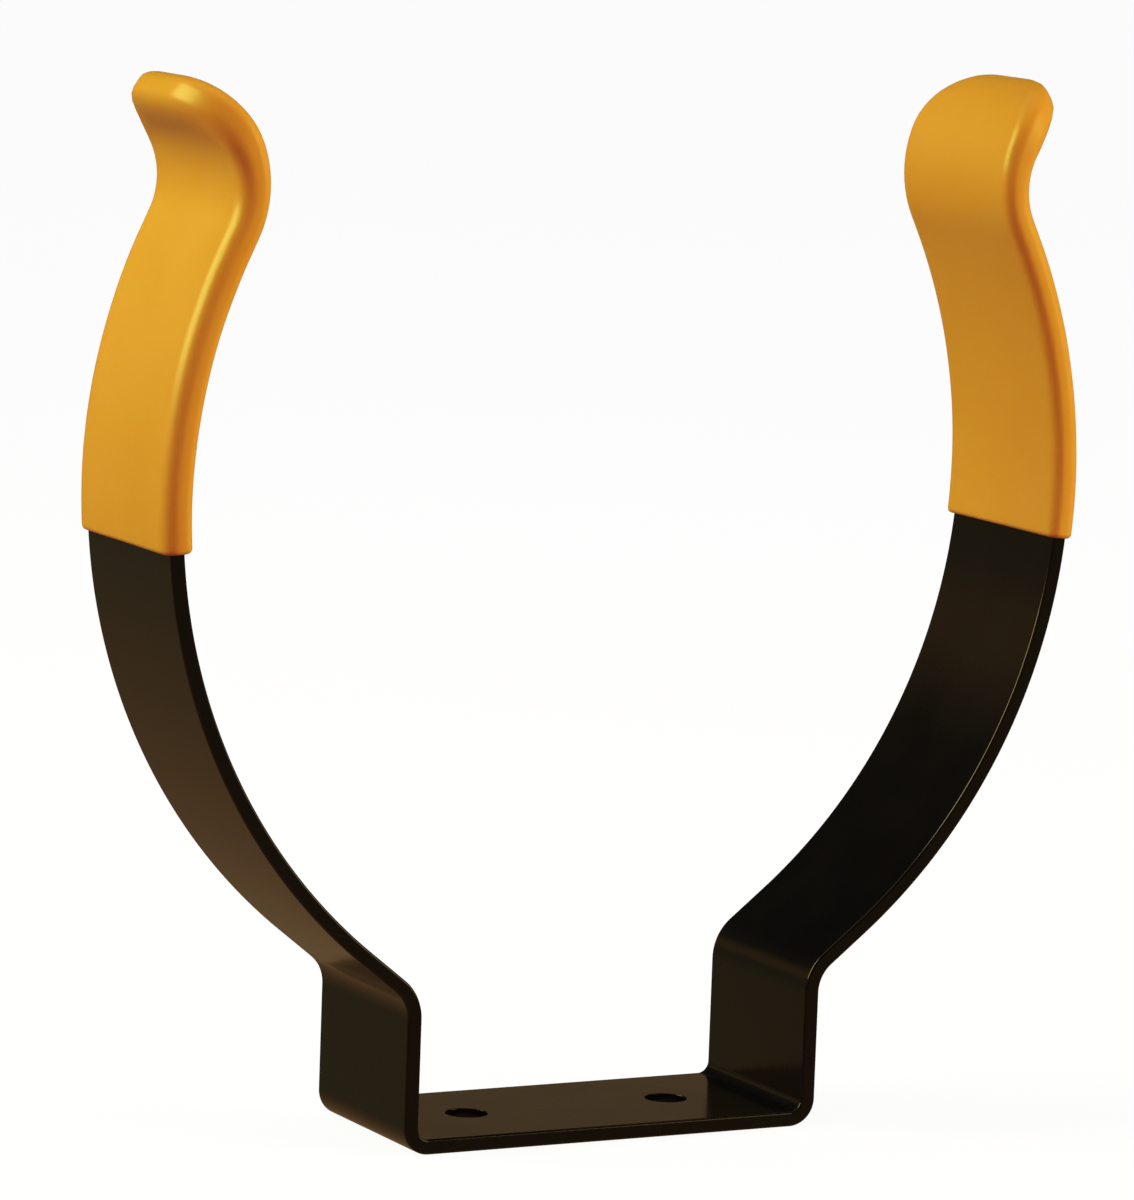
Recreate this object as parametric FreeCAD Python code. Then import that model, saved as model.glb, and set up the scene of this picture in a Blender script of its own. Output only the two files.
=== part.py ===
import FreeCAD, Part
import math
import os

# Padded two-arm cradle bracket, in millimetres.
# Z points up, X runs across the two arms and Y along the width of the bar.
# The origin is the middle of the underside of the base.
# Bend radii are measured to the middle of the bar's thickness.

# flat bar: 1 3/4 in by 1/8 in stock with its powder coat
BAR_WIDTH = 44.6
BAR_THICKNESS = 3.4
BAR_EDGE_RADIUS = 0.6
BAR_TIP_CORNER = 15.4

# base and legs
BASE_HALF_LENGTH = 50.0
CORNER_RADIUS = 4.4
SHOULDER_HEIGHT = 30.5
HOLE_DIAMETER = 9.6
HOLE_SPACING = 50.8
HOLE_EDGE_RADIUS = 0.4

# shoulder bend and arm
SHOULDER_RADIUS = 9.7
SHOULDER_DEGREES = 51.5
SHOULDER_FLAT = 10.8
ARM_RADIUS = 128.3
ARM_DEGREES = 76.6

# outward curl at the tip
NECK_LENGTH = 4.6
CURL_RADIUS = 21.0
CURL_DEGREES = 82.0
TIP_LENGTH = 3.5

# vinyl grips; the left one is pushed on a little less far than the right one, and both
# get thicker from the neck to their closed end
GRIP_WALL = 1.9
GRIP_SWELL_INSIDE = 2.6
GRIP_SWELL_OUTSIDE = 1.8
GRIP_EDGE_RADIUS = 2.9
GRIP_LIP_RADIUS = 1.2
LEFT_BARE_DEGREES = 47.0
RIGHT_BARE_DEGREES = 45.8

LEFT = -1
RIGHT = 1
CUTTER_MARGIN = 3.0
CUTTER_REACH = 20.0
TOLERANCE = 0.01


def straight(length):
    """A straight piece of the path: its length and no turn."""
    return (length, 0.0)


def bend(radius, degrees):
    """A bent piece of the path: its length and its turn, positive to the left."""
    turn = math.radians(degrees)
    return (radius * abs(turn), turn)


def step(station, piece):
    """The station (x, z, heading) at the far end of one piece of the path."""
    x, z, heading = station
    length, turn = piece
    if turn == 0.0:
        return (x + length * math.cos(heading), z + length * math.sin(heading), heading)
    radius = length / turn
    ahead = heading + turn
    return (
        x + radius * (math.sin(ahead) - math.sin(heading)),
        z - radius * (math.cos(ahead) - math.cos(heading)),
        ahead,
    )


def walk(station, pieces):
    """The station at the far end of a run of pieces."""
    for piece in pieces:
        station = step(station, piece)
    return station


def bare_path(bare_degrees):
    """Half of the bar from the middle of the base up to the lip of the grip."""
    leg_length = SHOULDER_HEIGHT - BAR_THICKNESS / 2 - CORNER_RADIUS
    return [
        straight(BASE_HALF_LENGTH - CORNER_RADIUS),
        bend(CORNER_RADIUS, 90.0),
        straight(leg_length),
        bend(SHOULDER_RADIUS, -SHOULDER_DEGREES),
        straight(SHOULDER_FLAT),
        bend(ARM_RADIUS, bare_degrees),
    ]


def covered_path(bare_degrees):
    """The rest of the arm, from the lip of the grip to the end of the bar."""
    return [
        bend(ARM_RADIUS, ARM_DEGREES - bare_degrees),
        straight(NECK_LENGTH),
        bend(CURL_RADIUS, -CURL_DEGREES),
        straight(TIP_LENGTH),
    ]


def beside(station, offset, side):
    """The point at a distance to the left of a station, on the left or right arm."""
    x, z, heading = station
    return FreeCAD.Vector(
        side * (x - offset * math.sin(heading)),
        0.0,
        z + offset * math.cos(heading),
    )


def offset_edges(station, pieces, offset, side):
    """Edges that follow the path at a constant distance from it."""
    edges = []
    for length, turn in pieces:
        middle = step(station, (length / 2, turn / 2))
        end = step(station, (length, turn))
        start_point, middle_point, end_point = [
            beside(place, offset, side) for place in (station, middle, end)
        ]
        if turn == 0.0:
            curve = Part.LineSegment(start_point, end_point)
        else:
            curve = Part.Arc(start_point, middle_point, end_point)
        edges.append(curve.toShape())
        station = end
    return edges


def tangent_arc(station, offset, end_point, side):
    """The arc that leaves along the path beside a station and ends at a given point."""
    heading = station[2]
    start_point = beside(station, offset, side)
    ahead = FreeCAD.Vector(side * math.cos(heading), 0.0, math.sin(heading))
    chord = end_point - start_point
    across = ahead - chord * (ahead.dot(chord) / chord.dot(chord))
    rise = chord.Length / 2 * math.tan(ahead.getAngle(chord) / 2)
    middle_point = start_point + chord / 2 + across.normalize() * rise
    return Part.Arc(start_point, middle_point, end_point).toShape()


def cap_edge(station, inner, outer, side):
    """The short edge that crosses the path at a station, from an inner to an outer offset."""
    near = beside(station, inner, side)
    far = beside(station, -outer, side)
    return Part.LineSegment(near, far).toShape()


def solid_from_edges(edges, width):
    """A solid of the given width, centred on Y, from a closed loop of edges."""
    face = Part.Face(Part.Wire(Part.sortEdges(edges)[0]))
    face.translate(FreeCAD.Vector(0.0, -width / 2, 0.0))
    return face.extrude(FreeCAD.Vector(0.0, width, 0.0)).removeSplitter()


def tip_cutter(station, half_width, corner_radius, side):
    """The block that trims the square end of a strip to rounded corners."""
    x, z, heading = station
    along = FreeCAD.Vector(side * math.cos(heading), 0.0, math.sin(heading))
    across = FreeCAD.Vector(0.0, 1.0, 0.0)
    through = FreeCAD.Vector(-side * math.sin(heading), 0.0, math.cos(heading))
    origin = FreeCAD.Vector(side * x, 0.0, z) - through * CUTTER_REACH

    def place(forward, sideways):
        return origin + along * forward + across * sideways

    diagonal = corner_radius * (1.0 - math.sqrt(0.5))
    flat = half_width - corner_radius
    edge = half_width + CUTTER_MARGIN
    block = [
        place(-corner_radius, -half_width),
        place(-corner_radius, -edge),
        place(CUTTER_MARGIN, -edge),
        place(CUTTER_MARGIN, edge),
        place(-corner_radius, edge),
        place(-corner_radius, half_width),
    ]
    edges = [Part.LineSegment(a, b).toShape() for a, b in zip(block, block[1:])]
    edges.append(Part.Arc(
        place(-corner_radius, half_width),
        place(-diagonal, half_width - diagonal),
        place(0.0, flat),
    ).toShape())
    edges.append(Part.LineSegment(place(0.0, flat), place(0.0, -flat)).toShape())
    edges.append(Part.Arc(
        place(0.0, -flat),
        place(-diagonal, diagonal - half_width),
        place(-corner_radius, -half_width),
    ).toShape())
    face = Part.Face(Part.Wire(Part.sortEdges(edges)[0]))
    return face.extrude(through * (2 * CUTTER_REACH))


def in_plane(shape, point, normal):
    """The edges of a shape that lie in a given plane."""
    kept = []
    for edge in shape.Edges:
        heights = [abs((vertex.Point - point).dot(normal)) for vertex in edge.Vertexes]
        if max(heights) < TOLERANCE:
            kept.append(edge)
    return kept


def outside_plane(shape, point, normal):
    """The edges of a shape that do not lie in a given plane."""
    lying = [edge.hashCode() for edge in in_plane(shape, point, normal)]
    return [edge for edge in shape.Edges if edge.hashCode() not in lying]


def base_centre():
    """The station in the middle of the base, at half the bar's thickness."""
    return (0.0, BAR_THICKNESS / 2, 0.0)


def bent_strap():
    """The one-piece bent bar with rounded tips, eased edges and two bolt holes."""
    half = BAR_THICKNESS / 2
    bare = {LEFT: LEFT_BARE_DEGREES, RIGHT: RIGHT_BARE_DEGREES}
    edges = []
    cutters = []
    for side, degrees in bare.items():
        pieces = bare_path(degrees) + covered_path(degrees)
        end = walk(base_centre(), pieces)
        edges += offset_edges(base_centre(), pieces, half, side)
        edges += offset_edges(base_centre(), pieces, -half, side)
        edges.append(cap_edge(end, half, half, side))
        cutters.append(tip_cutter(end, BAR_WIDTH / 2, BAR_TIP_CORNER, side))
    strap = solid_from_edges(edges, BAR_WIDTH)
    for cutter in cutters:
        strap = strap.cut(cutter)
    strap = ease_side_edges(strap)
    return drill_base(strap)


def ease_side_edges(strap):
    """Round the edges that run along both sides of the bar and around its tips."""
    sides = []
    for edge in strap.Edges:
        middle = edge.valueAt((edge.FirstParameter + edge.LastParameter) / 2)
        on_side = abs(abs(middle.y) - BAR_WIDTH / 2) < TOLERANCE
        if on_side and edge.BoundBox.YLength < TOLERANCE:
            sides.append(edge)
    return strap.makeFillet(BAR_EDGE_RADIUS, sides)


def drill_base(strap):
    """Cut the two bolt holes and ease their rims."""
    up = FreeCAD.Vector(0.0, 0.0, 1.0)
    for x in (-HOLE_SPACING / 2, HOLE_SPACING / 2):
        below = FreeCAD.Vector(x, 0.0, -CUTTER_MARGIN)
        depth = BAR_THICKNESS + 2 * CUTTER_MARGIN
        drill = Part.makeCylinder(HOLE_DIAMETER / 2, depth, below, up)
        strap = strap.cut(drill)
    rims = [edge for edge in strap.Edges if is_rim(edge)]
    return strap.makeFillet(HOLE_EDGE_RADIUS, rims)


def is_rim(edge):
    """True for the full circles at the two ends of a bolt hole."""
    curve = edge.Curve
    return isinstance(curve, Part.Circle) and abs(curve.Radius - HOLE_DIAMETER / 2) < TOLERANCE


def grip(side, bare_degrees, strap):
    """A closed-end vinyl sleeve around the end of one arm."""
    half = BAR_THICKNESS / 2 + GRIP_WALL
    half_width = BAR_WIDTH / 2 + GRIP_WALL
    lip = walk(base_centre(), bare_path(bare_degrees))
    arm, neck, curl, tip = covered_path(bare_degrees)
    curl_start = walk(lip, [arm, neck])
    end = walk(curl_start, [curl, tip, straight(GRIP_WALL)])
    inner = half + GRIP_SWELL_INSIDE
    outer = half + GRIP_SWELL_OUTSIDE
    edges = offset_edges(lip, [arm, neck], half, side)
    edges += offset_edges(lip, [arm, neck], -half, side)
    edges.append(tangent_arc(curl_start, half, beside(end, inner, side), side))
    edges.append(tangent_arc(curl_start, -half, beside(end, -outer, side), side))
    edges.append(cap_edge(lip, half, half, side))
    edges.append(cap_edge(end, inner, outer, side))
    body = solid_from_edges(edges, 2 * half_width)
    body = body.cut(tip_cutter(end, half_width, BAR_TIP_CORNER + GRIP_WALL, side))
    lip_normal = FreeCAD.Vector(side * math.cos(lip[2]), 0.0, math.sin(lip[2]))
    soft_edges = outside_plane(body, beside(lip, 0.0, side), lip_normal)
    body = body.makeFillet(GRIP_EDGE_RADIUS, soft_edges)
    lip_edges = in_plane(body, beside(lip, 0.0, side), lip_normal)
    body = body.makeFillet(GRIP_LIP_RADIUS, lip_edges)
    return body.cut(strap)


def main():
    os.makedirs("parts", exist_ok=True)
    strap = bent_strap()
    strap.exportStep("parts/bent_strap.step")
    grip(LEFT, LEFT_BARE_DEGREES, strap).exportStep("parts/left_grip.step")
    grip(RIGHT, RIGHT_BARE_DEGREES, strap).exportStep("parts/right_grip.step")


main()
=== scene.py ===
import math
from collections import namedtuple

import bmesh
import bpy
from mathutils import Matrix, Vector, noise


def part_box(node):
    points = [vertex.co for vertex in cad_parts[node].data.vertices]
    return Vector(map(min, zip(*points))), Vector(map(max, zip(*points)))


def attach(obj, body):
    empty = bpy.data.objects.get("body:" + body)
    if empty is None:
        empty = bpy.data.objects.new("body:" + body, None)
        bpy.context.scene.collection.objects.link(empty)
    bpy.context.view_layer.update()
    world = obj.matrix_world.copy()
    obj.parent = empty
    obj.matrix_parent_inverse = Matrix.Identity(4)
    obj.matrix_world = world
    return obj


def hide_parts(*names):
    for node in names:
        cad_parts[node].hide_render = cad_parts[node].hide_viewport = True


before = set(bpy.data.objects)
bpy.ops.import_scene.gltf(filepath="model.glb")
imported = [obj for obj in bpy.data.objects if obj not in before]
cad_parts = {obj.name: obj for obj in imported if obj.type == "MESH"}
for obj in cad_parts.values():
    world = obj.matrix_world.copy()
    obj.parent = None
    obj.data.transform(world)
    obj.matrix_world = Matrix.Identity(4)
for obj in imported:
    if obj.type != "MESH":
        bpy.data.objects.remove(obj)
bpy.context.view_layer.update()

MM = 0.001
LEFT = -1
RIGHT = 1

# The bar and its bends, as the CAD has them; radii are to the middle of the thickness.
BAR_WIDTH = 44.6 * MM
BAR_THICKNESS = 3.4 * MM
BAR_EDGE = 0.6 * MM
BAR_TIP_CORNER = 15.4 * MM
BASE_HALF_LENGTH = 50.0 * MM
CORNER_RADIUS = 4.4 * MM
SHOULDER_HEIGHT = 30.5 * MM
SHOULDER_RADIUS = 9.7 * MM
SHOULDER_DEGREES = 51.5
SHOULDER_FLAT = 10.8 * MM
ARM_RADIUS = 128.3 * MM
ARM_DEGREES = 76.6
NECK_LENGTH = 4.6 * MM
CURL_RADIUS = 21.0 * MM
CURL_DEGREES = 82.0
TIP_LENGTH = 3.5 * MM
HOLE_RADIUS = 4.8 * MM
HOLE_OFFSET = 25.4 * MM
HOLE_EDGE = 0.2 * MM

# The vinyl grips. The bare degrees are how far each arm runs before its grip starts, and
# the wave is the slight unevenness of the vinyl.
GRIP_WALL = 1.9 * MM
GRIP_EDGE_INSIDE = 2.5 * MM
GRIP_EDGE_OUTSIDE = 3.4 * MM
GRIP_LIP = 1.2 * MM
GRIP_CLEARANCE = 0.05 * MM
GRIP_DOME = 2.3
GRIP_EDGE_STRETCH = 1.25
GRIP_SWELL_INSIDE = 2.6 * MM
GRIP_SWELL_OUTSIDE = 1.8 * MM
GRIP_WAVE = 0.10 * MM
GRIP_WAVE_LENGTH = 14 * MM
BARE_DEGREES = {LEFT: 47.0, RIGHT: 45.8}

# How finely the surfaces are cut. Each bolt hole sits in a square patch of its own.
BEND_STEP = math.radians(4.0)
LONG_STEP = 2.0 * MM
SHORTEST_CUT = 0.2 * MM
TIP_STEPS = 14
EDGE_STEPS = 6
LIP_STEPS = 5
PATCH_HALF = 9.0 * MM
PATCH_CELLS = 8
PATCH_RINGS = 3
BAR_COLUMNS = [12.0 * MM, 15.0 * MM, 18.0 * MM, 20.4 * MM]
BAR_EDGE_COLUMN = 0.3 * MM
GRIP_COLUMNS = 6
GRIP_EDGE_COLUMN = 0.97
TOUCHING = 0.01 * MM

# The colours and roughness of the materials, each between two close values. The vinyl's
# depth is how far light goes in, how much of it does, and how far each colour gets. The
# last two are the range that nearly all of a noise falls in.
COAT_COLOURS = ((0.0014, 0.0016, 0.0013), (0.0024, 0.0025, 0.0019))
COAT_ROUGHNESS = (0.13, 0.17)
COAT_TINT = (1.0, 0.80, 0.60)
COAT_IOR = 1.50
VINYL_COLOURS = ((0.636, 0.405, 0.0090), (0.662, 0.425, 0.0115))
VINYL_ROUGHNESS = (0.28, 0.33)
VINYL_TINT = (0.56, 1.0, 0.25)
VINYL_IOR = 1.52
VINYL_DEPTH = 3.0 * MM
VINYL_DEPTH_SHARE = 0.3
VINYL_DEPTH_COLOUR = (1.0, 0.25, 0.10)
NOISE_LOW = 0.3
NOISE_HIGH = 0.7

# The camera.
CAMERA_AZIMUTH = math.radians(27.75)
CAMERA_ELEVATION = math.radians(7.96)
CAMERA_ROLL = math.radians(2.08)
CAMERA_DISTANCE = 1.5032
CAMERA_LENS = 202.0
CAMERA_SENSOR = 36.0
CAMERA_TARGET = Vector((-0.0046, 0.0, 0.1189))

# The floor, which glows a little so that it stays pale, and the backdrop.
FLOOR_HALF = 8.0
FLOOR_CELLS = 8
FLOOR_GAP = 0.05 * MM
FLOOR_GRAIN = 0.4
FLOOR_GREY = (0.06, 0.06, 0.06)
FLOOR_LIGHT_GREY = (0.07, 0.07, 0.07)
FLOOR_GLOW = 0.95
FLOOR_GLOW_COLOUR = (0.98, 1.0, 0.965)
BACKDROP = (0.95, 0.95, 0.94)

# What the object reflects at each height: the share of the way from straight down to
# straight up, and the colour there. Below is a warm table, above a dim room.
SURROUNDINGS = [
    (0.00, (0.30, 0.170, 0.085)),
    (0.28, (0.25, 0.140, 0.062)),
    (0.40, (0.15, 0.118, 0.062)),
    (0.47, (0.11, 0.095, 0.056)),
    (0.53, (0.11, 0.095, 0.056)),
    (0.56, (0.21, 0.130, 0.062)),
    (0.60, (0.21, 0.130, 0.062)),
    (0.66, (0.04, 0.038, 0.028)),
    (0.80, (0.010, 0.010, 0.009)),
]

# The soft light from all round at each height, in the same way.
AMBIENT = [
    (0.25, (0.27, 0.020, 0.68)),
    (0.65, (0.64, 0.030, 1.00)),
    (0.90, (0.25, 0.022, 0.68)),
]

# The lamps, aimed at the camera's target. Azimuth 0 is in front and positive to the
# right; size and distance are in metres and power is in watts. The matte one gives no
# highlights.
Softbox = namedtuple("Softbox", "azimuth elevation distance size power colour")

KEY = Softbox(-114.0, 30.0, 1.3, 0.9, 16.8, (0.94, 0.95, 0.48))
FILL = Softbox(50.0, 18.0, 2.6, 1.7, 19.0, (0.98, 0.85, 0.50))
MATTE_FILL = FILL._replace(power=56.0)

OVERHEAD_STRENGTH = 0.36
OVERHEAD_COLOUR = (0.90, 0.95, 0.56)
OVERHEAD_SPREAD = math.radians(70.0)
OVERHEAD_TILT = (math.radians(-14.0), math.radians(-10.0), 0.0)

# The cross section of a plate: half its width and thickness, the rounding of its long
# edges on its inner and outer side and of its tip in plan, how much wider than deep the
# rounding of the edges is and how much wider still round the tip, and how much thicker
# each side gets by the end of the curl.
Section = namedtuple(
    "Section",
    "half_width half_thickness edge_inside edge_outside tip_corner"
    " stretch dome swell_inside swell_outside",
)

BAR = Section(
    half_width=BAR_WIDTH / 2,
    half_thickness=BAR_THICKNESS / 2,
    edge_inside=BAR_EDGE,
    edge_outside=BAR_EDGE,
    tip_corner=BAR_TIP_CORNER,
    stretch=1.0,
    dome=1.0,
    swell_inside=0.0,
    swell_outside=0.0,
)


def grown(section, amount):
    """The section a given distance outside another one."""
    return section._replace(
        half_width=section.half_width + amount,
        half_thickness=section.half_thickness + amount,
        edge_inside=section.edge_inside + amount,
        edge_outside=section.edge_outside + amount,
        tip_corner=section.tip_corner + amount,
    )


# The middle line of half of the bar.

def straight(length):
    """A straight piece of the path: its length and no turn."""
    return (length, 0.0)


def bend(radius, degrees):
    """A bent piece of the path: its length and its turn, positive inwards."""
    turn = math.radians(degrees)
    return (radius * abs(turn), turn)


def path_to_arm():
    """The pieces from the middle of the base to the start of the right arm's sweep."""
    leg_length = SHOULDER_HEIGHT - BAR_THICKNESS / 2 - CORNER_RADIUS
    return [
        straight(BASE_HALF_LENGTH - CORNER_RADIUS),
        bend(CORNER_RADIUS, 90.0),
        straight(leg_length),
        bend(SHOULDER_RADIUS, -SHOULDER_DEGREES),
        straight(SHOULDER_FLAT),
    ]


def path_to_curl():
    """The pieces from the middle of the base to the start of the curl."""
    return path_to_arm() + [bend(ARM_RADIUS, ARM_DEGREES), straight(NECK_LENGTH)]


def half_path():
    """The pieces from the middle of the base to the right-hand tip."""
    return path_to_curl() + [bend(CURL_RADIUS, -CURL_DEGREES), straight(TIP_LENGTH)]


def path_length(pieces):
    """The length of a run of pieces."""
    return sum(length for length, turn in pieces)


def step(station, length, turn):
    """The (x, z, heading) reached from a station after a length and a turn."""
    x, z, heading = station
    if turn == 0.0:
        return (x + length * math.cos(heading), z + length * math.sin(heading), heading)
    radius = length / turn
    ahead = heading + turn
    return (
        x + radius * (math.sin(ahead) - math.sin(heading)),
        z - radius * (math.cos(ahead) - math.cos(heading)),
        ahead,
    )


def station_at(distance):
    """The (x, z, heading) at a distance along the right half of the middle line.

    Past its end the line runs straight on.
    """
    pieces = half_path()
    station = (0.0, BAR_THICKNESS / 2, 0.0)
    for length, turn in pieces[:-1]:
        if distance <= length:
            return step(station, distance, turn * distance / length)
        station = step(station, length, turn)
        distance -= length
    return step(station, distance, 0.0)


def place(side, distance, across, height):
    """The point at a height off the middle line, on the left or right arm."""
    x, z, heading = station_at(distance)
    return Vector((
        side * (x - height * math.sin(heading)),
        across,
        z + height * math.cos(heading),
    ))


def cuts_between(start, end):
    """Distances along the half path at which a plate is cut, from start to end."""
    cuts = [start]
    reached = 0.0
    for length, turn in half_path():
        count = math.ceil(max(abs(turn) / BEND_STEP, length / LONG_STEP))
        for index in range(1, count + 1):
            cut = reached + length * index / count
            if cuts[-1] + SHORTEST_CUT < cut < end - SHORTEST_CUT:
                cuts.append(cut)
        reached += length
    return cuts + [end]


def even_cuts(start, end, count):
    """Evenly spaced distances from start to end."""
    return [start + (end - start) * index / count for index in range(count + 1)]


def quarter_turn(steps):
    """Evenly spaced angles from zero to a right angle."""
    return [0.5 * math.pi * index / steps for index in range(steps + 1)]


# Plates that follow the path. A row is (side, distance, tip angle); the tip angle runs
# from 0 along the arm to a right angle at the end of the rounded tip.

def tip_centre():
    """The distance of the centres of the tip's rounding, the same for bar and grip."""
    return path_length(half_path()) - BAR_TIP_CORNER


def tip_rows(side):
    """The rows round the tip, from just after its straight sides to its end."""
    return [(side, tip_centre(), angle) for angle in quarter_turn(TIP_STEPS)[1:]]


def outline(row, section, inset):
    """The distance and half width of a plate's outline on a row, moved in by an inset."""
    side, distance, angle = row
    forward = section.tip_corner - inset * section.dome
    sideways = section.tip_corner - inset
    return (
        distance + forward * math.sin(angle),
        section.half_width - section.tip_corner + sideways * math.cos(angle),
    )


def swollen(section, distance, height):
    """A height off the middle surface, pushed out where the section swells to its tip."""
    start = path_length(path_to_curl())
    end = path_length(half_path()) + GRIP_WALL
    share = max(0.0, (distance - start) / (end - start))
    swell = section.swell_inside if height > 0 else section.swell_outside
    return height * (1.0 + share * share * swell / section.half_thickness)


def rounding(radius, stretch, top):
    """(inset, height) pairs down a stretched quarter circle from a given height."""
    return [
        (radius * stretch * (1 - math.sin(angle)), top - radius * (1 - math.cos(angle)))
        for angle in quarter_turn(EDGE_STEPS)
    ]


def edge_profile(section):
    """(inset, height) pairs over a plate's long edge, from its inner face to its outer."""
    inner = rounding(section.edge_inside, section.stretch, section.half_thickness)
    outer = rounding(section.edge_outside, section.stretch, section.half_thickness)
    return inner + [(inset, -height) for inset, height in reversed(outer)]


def skin_point(row, section, pair, share):
    """The point of a plate's skin at an (inset, height) pair and a share of the half width."""
    inset, height = pair
    distance, half = outline(row, section, inset)
    return place(row[0], distance, half * share, swollen(section, distance, height))


def ring_points(row, section, shares):
    """The points round a plate on one row: top face, +Y edge, bottom face, -Y edge."""
    profile = edge_profile(section)
    points = [skin_point(row, section, profile[0], share) for share in shares]
    points += [skin_point(row, section, pair, 1.0) for pair in profile[1:-1]]
    points += [skin_point(row, section, profile[-1], share) for share in reversed(shares)]
    points += [skin_point(row, section, pair, -1.0) for pair in reversed(profile[1:-1])]
    return points


def add_ring(mesh, row, section, shares):
    """Vertices for one row of a plate."""
    return [mesh.verts.new(point) for point in ring_points(row, section, shares)]


def bridge(mesh, first, second):
    """A band of quads between two closed rings of the same count."""
    for index in range(len(first)):
        after = (index + 1) % len(first)
        mesh.faces.new((first[index], first[after], second[after], second[index]))


def add_rings(mesh, rows, section, shares):
    """The bands between rows. Returns the first and last rings."""
    rings = [add_ring(mesh, row, section, shares) for row in rows]
    for first, second in zip(rings, rings[1:]):
        bridge(mesh, first, second)
    return rings[0], rings[-1]


def close_tip(mesh, ring, row, section, shares):
    """The faces over the straight end between the two rounded corners of a tip."""
    profile = edge_profile(section)[1:-1]
    wide = len(shares)
    deep = len(profile)
    plus_edge = ring[wide:wide + deep]
    minus_edge = ring[2 * wide + deep:][::-1]
    grid = [ring[:wide]]
    for index, pair in enumerate(profile):
        between = [
            mesh.verts.new(skin_point(row, section, pair, share))
            for share in shares[1:-1]
        ]
        grid.append([minus_edge[index]] + between + [plus_edge[index]])
    grid.append(ring[wide + deep:2 * wide + deep][::-1])
    for upper, lower in zip(grid, grid[1:]):
        for index in range(wide - 1):
            mesh.faces.new((upper[index], upper[index + 1], lower[index + 1], lower[index]))


# The bent bar.

def bar_shares():
    """Columns across the bar's flat faces, as shares of their half width."""
    half = BAR.half_width - BAR_EDGE
    outer = BAR_COLUMNS + [half - BAR_EDGE_COLUMN, half]
    inner = even_cuts(-PATCH_HALF, PATCH_HALF, PATCH_CELLS)
    places = [-place_out for place_out in reversed(outer)] + inner + outer
    return [across / half for across in places]


def bar_cuts():
    """Rows along half of the bar, evenly spaced in the square patch round the hole."""
    near = HOLE_OFFSET - PATCH_HALF
    far = HOLE_OFFSET + PATCH_HALF
    return (
        even_cuts(0.0, near, PATCH_CELLS)[:-1]
        + even_cuts(near, far, PATCH_CELLS)[:-1]
        + cuts_between(far, tip_centre())
    )


def bar_rows():
    """All rows of the bar from the left tip to the right tip."""
    half = [(RIGHT, cut, 0.0) for cut in bar_cuts()] + tip_rows(RIGHT)
    mirrored = [(LEFT, distance, angle) for side, distance, angle in reversed(half[1:])]
    return mirrored + half


def in_patch(point, hole_x):
    """True for a point in the square patch round a bolt hole."""
    reach = PATCH_HALF + TOUCHING
    return (
        point.z < BAR_THICKNESS + TOUCHING
        and abs(point.x - hole_x) < reach
        and abs(point.y) < reach
    )


def patch_border(mesh, hole_x, height):
    """The vertices on the border of a patch, in order round the hole."""
    border = []
    for vert in mesh.verts:
        offset = max(abs(vert.co.x - hole_x), abs(vert.co.y))
        on_border = abs(offset - PATCH_HALF) < TOUCHING
        if on_border and abs(vert.co.z - height) < TOUCHING and in_patch(vert.co, hole_x):
            border.append(vert)
    return sorted(border, key=lambda vert: math.atan2(vert.co.y, vert.co.x - hole_x))


def circle(mesh, border, hole_x, radius, height):
    """A ring of vertices round the hole, one for each vertex of the border."""
    ring = []
    start = math.atan2(border[0].co.y, border[0].co.x - hole_x)
    for index in range(len(border)):
        angle = start + 2 * math.pi * index / len(border)
        x = hole_x + radius * math.cos(angle)
        ring.append(mesh.verts.new((x, radius * math.sin(angle), height)))
    return ring


def between_rings(mesh, outer, inner, share):
    """A ring part of the way from one ring to another."""
    return [mesh.verts.new(a.co.lerp(b.co, share)) for a, b in zip(outer, inner)]


def hole_mouth(mesh, hole_x, height, inwards):
    """Rings from the border of a patch over the hole's eased rim. Returns the last one."""
    border = patch_border(mesh, hole_x, height)
    rim = circle(mesh, border, hole_x, HOLE_RADIUS + HOLE_EDGE, height)
    rings = [border]
    for index in range(1, PATCH_RINGS):
        rings.append(between_rings(mesh, border, rim, index / PATCH_RINGS))
    rings.append(rim)
    for angle in quarter_turn(LIP_STEPS)[1:]:
        radius = HOLE_RADIUS + HOLE_EDGE * (1 - math.sin(angle))
        depth = height + inwards * HOLE_EDGE * (1 - math.cos(angle))
        rings.append(circle(mesh, border, hole_x, radius, depth))
    for first, second in zip(rings, rings[1:]):
        bridge(mesh, first, second)
    return rings[-1]


def open_hole(mesh, hole_x):
    """Replaces the square patches with rings of quads round an eased bolt hole."""
    inside = [
        face for face in mesh.faces
        if all(in_patch(vert.co, hole_x) for vert in face.verts)
    ]
    bmesh.ops.delete(mesh, geom=inside, context="FACES")
    upper = hole_mouth(mesh, hole_x, BAR_THICKNESS, -1)
    lower = hole_mouth(mesh, hole_x, 0.0, 1)
    bridge(mesh, upper, lower)


def bent_strap(material):
    """The one-piece bent bar with its two bolt holes."""
    mesh = bmesh.new()
    shares = bar_shares()
    rows = bar_rows()
    first, last = add_rings(mesh, rows, BAR, shares)
    close_tip(mesh, first, rows[0], BAR, shares)
    close_tip(mesh, last, rows[-1], BAR, shares)
    for hole_x in (-HOLE_OFFSET, HOLE_OFFSET):
        open_hole(mesh, hole_x)
    finish_piece(mesh, "powder_coated_strap", material, "bent_strap")


# The grips.

def grip_shares():
    """Columns across a grip's flat faces, as shares of their half width."""
    inner = range(1 - GRIP_COLUMNS, GRIP_COLUMNS)
    middle = [index / GRIP_COLUMNS for index in inner]
    return [-1.0, -GRIP_EDGE_COLUMN] + middle + [GRIP_EDGE_COLUMN, 1.0]


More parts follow.
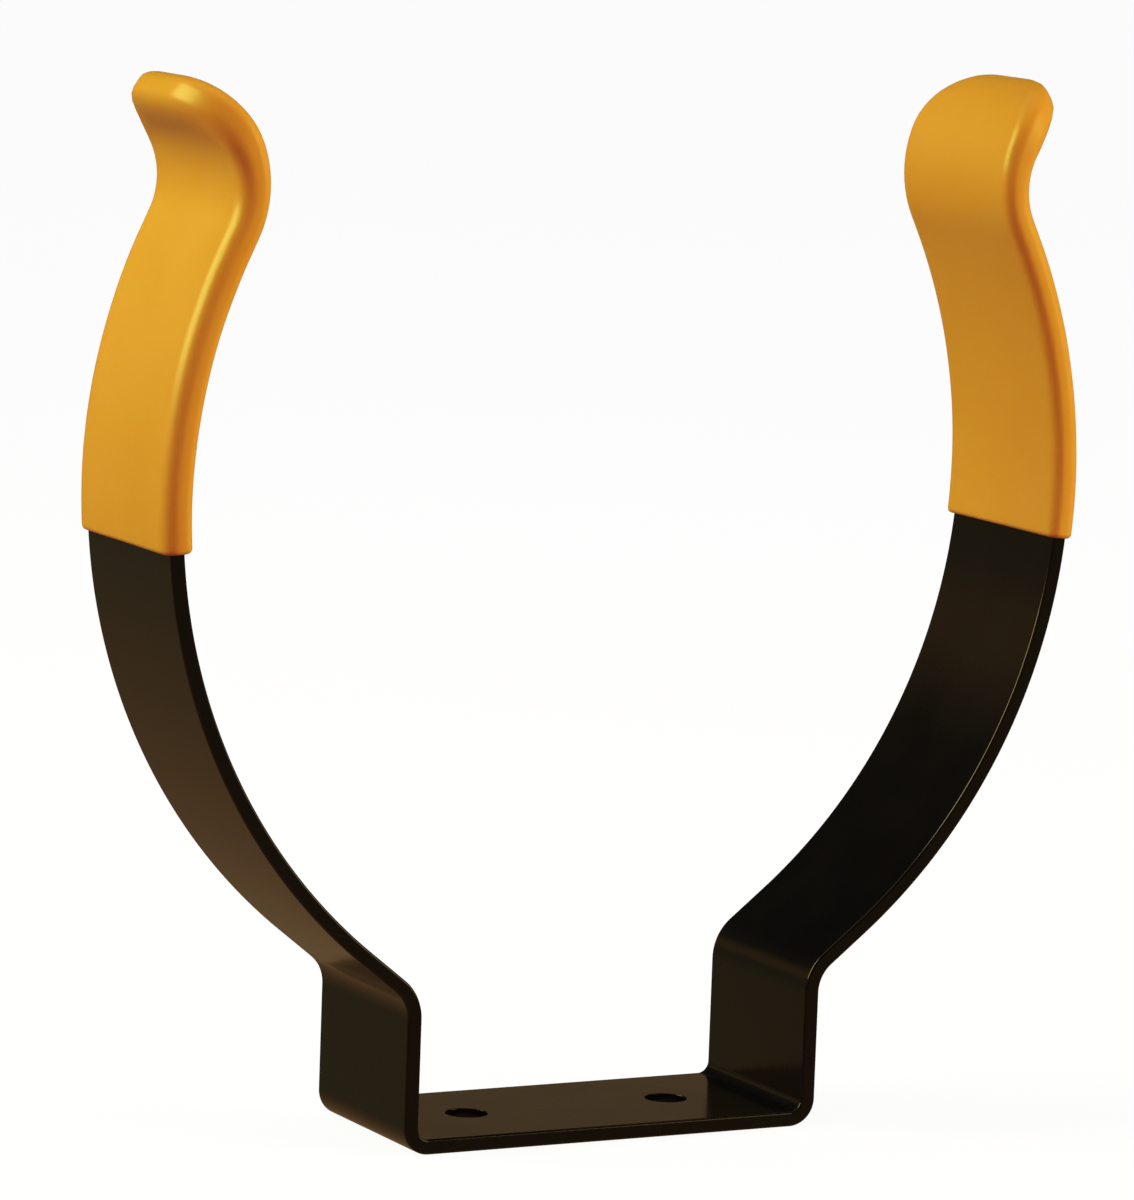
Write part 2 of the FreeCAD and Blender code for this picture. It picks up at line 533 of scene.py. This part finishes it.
def lip_distance(side):
    """The distance of a grip's lip along the path."""
    return path_length(path_to_arm() + [bend(ARM_RADIUS, BARE_DEGREES[side])])


def ease_waves(verts):
    """Moves a grip's skin inwards by a slow, slight unevenness."""
    for vert in verts:
        depth = 0.5 + 0.5 * noise.noise(vert.co / GRIP_WAVE_LENGTH)
        vert.co -= vert.normal * GRIP_WAVE * min(max(depth, 0.0), 1.0)


def grip_skin():
    """The cross section of a grip's outside."""
    return grown(BAR, GRIP_WALL)._replace(
        edge_inside=GRIP_EDGE_INSIDE,
        edge_outside=GRIP_EDGE_OUTSIDE,
        stretch=GRIP_EDGE_STRETCH,
        dome=GRIP_DOME,
        swell_inside=GRIP_SWELL_INSIDE,
        swell_outside=GRIP_SWELL_OUTSIDE,
    )


def sleeve(mesh, side, start, section, shares):
    """A sleeve from a distance along the arm to its closed tip. Returns its first ring."""
    rows = [(side, cut, 0.0) for cut in cuts_between(start, tip_centre())]
    rows += tip_rows(side)
    first, last = add_rings(mesh, rows, section, shares)
    close_tip(mesh, last, rows[-1], section, shares)
    return first


def rounded_lip(mesh, side, lip, ring, shares):
    """Rounds a grip's skin over to its lip. Returns the last ring."""
    for angle in quarter_turn(LIP_STEPS)[1:]:
        row = (side, lip + GRIP_LIP * (1 - math.sin(angle)), 0.0)
        section = grown(grip_skin(), -GRIP_LIP * (1 - math.cos(angle)))
        lower = add_ring(mesh, row, section, shares)
        bridge(mesh, ring, lower)
        ring = lower
    return ring


def grip(side, name, node, material):
    """A closed-ended vinyl sleeve pushed over the end of one arm."""
    mesh = bmesh.new()
    shares = grip_shares()
    lip = lip_distance(side)
    skin_start = sleeve(mesh, side, lip + GRIP_LIP, grip_skin(), shares)
    lip_end = rounded_lip(mesh, side, lip, skin_start, shares)
    outer_verts = list(mesh.verts)
    cavity_start = sleeve(mesh, side, lip, grown(BAR, GRIP_CLEARANCE), shares)
    bridge(mesh, lip_end, cavity_start)
    bmesh.ops.recalc_face_normals(mesh, faces=mesh.faces)
    mesh.normal_update()
    ease_waves(outer_verts)
    finish_piece(mesh, name, material, node)


def finish_piece(mesh, name, material, node):
    """Turns a finished mesh into a smooth-shaded piece that stands for its CAD node."""
    bmesh.ops.recalc_face_normals(mesh, faces=mesh.faces)
    data = bpy.data.meshes.new(name)
    mesh.to_mesh(data)
    mesh.free()
    data.polygons.foreach_set("use_smooth", [True] * len(data.polygons))
    data.materials.append(material)
    piece = bpy.data.objects.new(name, data)
    bpy.context.scene.collection.objects.link(piece)
    weighted = piece.modifiers.new("flat_faces_stay_flat", "WEIGHTED_NORMAL")
    weighted.mode = "FACE_AREA"
    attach(piece, "root")
    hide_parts(node)


# Materials.

class Finish:
    """A node material with short calls for the nodes it is built from."""

    def __init__(self, name):
        self.material = bpy.data.materials.new(name)
        self.material.use_nodes = True
        self.nodes = self.material.node_tree.nodes
        self.links = self.material.node_tree.links
        self.shader = self.nodes["Principled BSDF"]
        self.place = self.nodes.new("ShaderNodeTexCoord").outputs["Object"]

    def grain(self, size, detail=3.0):
        """Noise whose lumps are about the given size in metres."""
        node = self.nodes.new("ShaderNodeTexNoise")
        node.inputs["Scale"].default_value = 1.0 / size
        node.inputs["Detail"].default_value = detail
        self.links.new(self.place, node.inputs["Vector"])
        return node.outputs["Fac"]

    def spread(self, factor, low, high):
        """A number that follows a noise between two values."""
        node = self.nodes.new("ShaderNodeMapRange")
        node.inputs["From Min"].default_value = NOISE_LOW
        node.inputs["From Max"].default_value = NOISE_HIGH
        node.inputs["To Min"].default_value = low
        node.inputs["To Max"].default_value = high
        self.links.new(factor, node.inputs["Value"])
        return node.outputs["Result"]

    def blend(self, factor, first, second):
        """A colour that follows a noise between two colours."""
        node = self.nodes.new("ShaderNodeValToRGB")
        low, high = node.color_ramp.elements
        low.position = NOISE_LOW
        low.color = (*first, 1.0)
        high.position = NOISE_HIGH
        high.color = (*second, 1.0)
        self.links.new(factor, node.inputs["Fac"])
        return node.outputs["Color"]

    def bump(self, height, strength, distance, under=None):
        """A bump from a height, laid over another bump."""
        node = self.nodes.new("ShaderNodeBump")
        node.inputs["Strength"].default_value = strength
        node.inputs["Distance"].default_value = distance
        self.links.new(height, node.inputs["Height"])
        if under is not None:
            self.links.new(under, node.inputs["Normal"])
        return node.outputs["Normal"]

    def drive(self, socket, value):
        """Links a value to one of the shader's sockets."""
        self.links.new(value, self.shader.inputs[socket])

    def fix(self, socket, value):
        """Sets one of the shader's sockets to a constant."""
        self.shader.inputs[socket].default_value = value


def powder_coat():
    """Semi-gloss black powder coat: a faint orange peel and a warm sheen."""
    finish = Finish("black_powder_coat")
    patches = finish.grain(18 * MM)
    peel = finish.grain(1.6 * MM, detail=2.0)
    grit = finish.grain(0.35 * MM, detail=1.0)
    finish.drive("Base Color", finish.blend(patches, *COAT_COLOURS))
    finish.drive("Roughness", finish.spread(patches, *COAT_ROUGHNESS))
    waves = finish.bump(peel, strength=0.06, distance=0.3 * MM)
    finish.drive("Normal", finish.bump(grit, strength=0.03, distance=0.1 * MM, under=waves))
    finish.fix("Specular Tint", (*COAT_TINT, 1.0))
    finish.fix("IOR", COAT_IOR)
    return finish.material


def yellow_vinyl():
    """Satin golden vinyl: slight mottling, a fine skin texture and a little depth."""
    finish = Finish("yellow_vinyl")
    clouds = finish.grain(24 * MM)
    skin = finish.grain(0.9 * MM)
    finish.drive("Base Color", finish.blend(clouds, *VINYL_COLOURS))
    finish.drive("Roughness", finish.spread(clouds, *VINYL_ROUGHNESS))
    finish.drive("Normal", finish.bump(skin, strength=0.06, distance=0.2 * MM))
    finish.fix("Specular Tint", (*VINYL_TINT, 1.0))
    finish.fix("IOR", VINYL_IOR)
    finish.fix("Subsurface Weight", VINYL_DEPTH_SHARE)
    finish.fix("Subsurface Radius", VINYL_DEPTH_COLOUR)
    finish.fix("Subsurface Scale", VINYL_DEPTH)
    return finish.material


# The studio.

def camera_axes():
    """The camera's right, up and viewing directions."""
    azimuth, elevation, roll = CAMERA_AZIMUTH, CAMERA_ELEVATION, CAMERA_ROLL
    ahead = Vector((
        math.sin(azimuth) * math.cos(elevation),
        math.cos(azimuth) * math.cos(elevation),
        -math.sin(elevation),
    ))
    level_right = Vector((math.cos(azimuth), -math.sin(azimuth), 0.0))
    level_up = level_right.cross(ahead)
    right = level_right * math.cos(roll) + level_up * math.sin(roll)
    up = level_up * math.cos(roll) - level_right * math.sin(roll)
    return right, up, ahead


def add_camera():
    """The camera at the reference view."""
    right, up, ahead = camera_axes()
    data = bpy.data.cameras.new("camera")
    data.sensor_width = CAMERA_SENSOR
    data.lens = CAMERA_LENS
    camera = bpy.data.objects.new("camera", data)
    bpy.context.scene.collection.objects.link(camera)
    turn = Matrix((right, up, -ahead)).transposed().to_4x4()
    camera.matrix_world = Matrix.Translation(CAMERA_TARGET - ahead * CAMERA_DISTANCE) @ turn
    bpy.context.scene.camera = camera


def add_softbox(name, box):
    """A square area light aimed at the object."""
    turn = math.radians(box.azimuth)
    rise = math.radians(box.elevation)
    direction = Vector((
        math.sin(turn) * math.cos(rise),
        -math.cos(turn) * math.cos(rise),
        math.sin(rise),
    ))
    data = bpy.data.lights.new(name, "AREA")
    data.shape = "SQUARE"
    data.size = box.size
    data.energy = box.power
    data.color = box.colour
    light = bpy.data.objects.new(name, data)
    light.location = CAMERA_TARGET + direction * box.distance
    light.rotation_euler = direction.to_track_quat("Z", "Y").to_euler()
    bpy.context.scene.collection.objects.link(light)
    return light


def add_floor():
    """A wide pale floor under the base, with the even brightness of a light table."""
    mesh = bmesh.new()
    bmesh.ops.create_grid(
        mesh, x_segments=FLOOR_CELLS, y_segments=FLOOR_CELLS, size=FLOOR_HALF
    )
    data = bpy.data.meshes.new("floor")
    mesh.to_mesh(data)
    mesh.free()
    floor = bpy.data.objects.new("floor", data)
    floor.location.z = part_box("bent_strap")[0].z - FLOOR_GAP
    bpy.context.scene.collection.objects.link(floor)
    floor.visible_diffuse = False
    floor.visible_glossy = False
    floor.visible_shadow = False
    finish = Finish("pale_floor")
    grain = finish.grain(FLOOR_GRAIN)
    finish.drive("Base Color", finish.blend(grain, FLOOR_GREY, FLOOR_LIGHT_GREY))
    finish.fix("Roughness", 0.9)
    finish.fix("Specular IOR Level", 0.1)
    finish.fix("Emission Color", (*FLOOR_GLOW_COLOUR, 1.0))
    finish.fix("Emission Strength", FLOOR_GLOW)
    data.materials.append(finish.material)


def sky(tree, height, stops):
    """A background whose colour follows the height of the direction seen."""
    ramp = tree.nodes.new("ShaderNodeValToRGB")
    while len(ramp.color_ramp.elements) < len(stops):
        ramp.color_ramp.elements.new(0.5)
    for element, (position, colour) in zip(ramp.color_ramp.elements, stops):
        element.position = position
        element.color = (*colour, 1.0)
    background = tree.nodes.new("ShaderNodeBackground")
    tree.links.new(height, ramp.inputs["Fac"])
    tree.links.new(ramp.outputs["Color"], background.inputs["Color"])
    return background.outputs["Background"]


def choose(tree, condition, otherwise, chosen):
    """One of two backgrounds, by the kind of ray."""
    choice = tree.nodes.new("ShaderNodeMixShader")
    tree.links.new(condition, choice.inputs[0])
    tree.links.new(otherwise, choice.inputs[1])
    tree.links.new(chosen, choice.inputs[2])
    return choice.outputs["Shader"]


def add_world():
    """What reflections, soft light and the camera each find around the object.

    The height of a direction is its Z, from -1 to 1, turned into a share from 0 to 1.
    """
    world = bpy.data.worlds.new("studio")
    world.use_nodes = True
    tree = world.node_tree
    direction = tree.nodes.new("ShaderNodeTexCoord")
    axes = tree.nodes.new("ShaderNodeSeparateXYZ")
    rise = tree.nodes.new("ShaderNodeMapRange")
    rise.inputs["From Min"].default_value = -1.0
    tree.links.new(direction.outputs["Generated"], axes.inputs["Vector"])
    tree.links.new(axes.outputs["Z"], rise.inputs["Value"])
    height = rise.outputs["Result"]
    backdrop = tree.nodes["Background"]
    backdrop.inputs["Color"].default_value = (*BACKDROP, 1.0)
    ray = tree.nodes.new("ShaderNodeLightPath").outputs
    seen = choose(tree, ray["Is Diffuse Ray"], sky(tree, height, SURROUNDINGS),
                  sky(tree, height, AMBIENT))
    seen = choose(tree, ray["Is Camera Ray"], seen, backdrop.outputs["Background"])
    tree.links.new(seen, tree.nodes["World Output"].inputs["Surface"])
    bpy.context.scene.world = world


def add_overhead():
    """A broad even light from above, for the floor and the tops of the tips."""
    data = bpy.data.lights.new("overhead", "SUN")
    data.energy = OVERHEAD_STRENGTH
    data.color = OVERHEAD_COLOUR
    data.angle = OVERHEAD_SPREAD
    light = bpy.data.objects.new("overhead", data)
    light.rotation_euler = OVERHEAD_TILT
    bpy.context.scene.collection.objects.link(light)


def build():
    """The whole scene: the bracket, the floor, the surroundings, the lamps, the camera."""
    coat = powder_coat()
    vinyl = yellow_vinyl()
    bent_strap(coat)
    grip(LEFT, "left_vinyl_grip", "left_grip", vinyl)
    grip(RIGHT, "right_vinyl_grip", "right_grip", vinyl)
    add_floor()
    add_world()
    add_softbox("left_key", KEY)
    add_softbox("right_fill", FILL)
    matte_fill = add_softbox("matte_fill", MATTE_FILL)
    matte_fill.visible_glossy = False
    add_overhead()
    add_camera()
    bpy.context.scene.view_settings.view_transform = "Standard"


build()
bpy.context.view_layer.update()
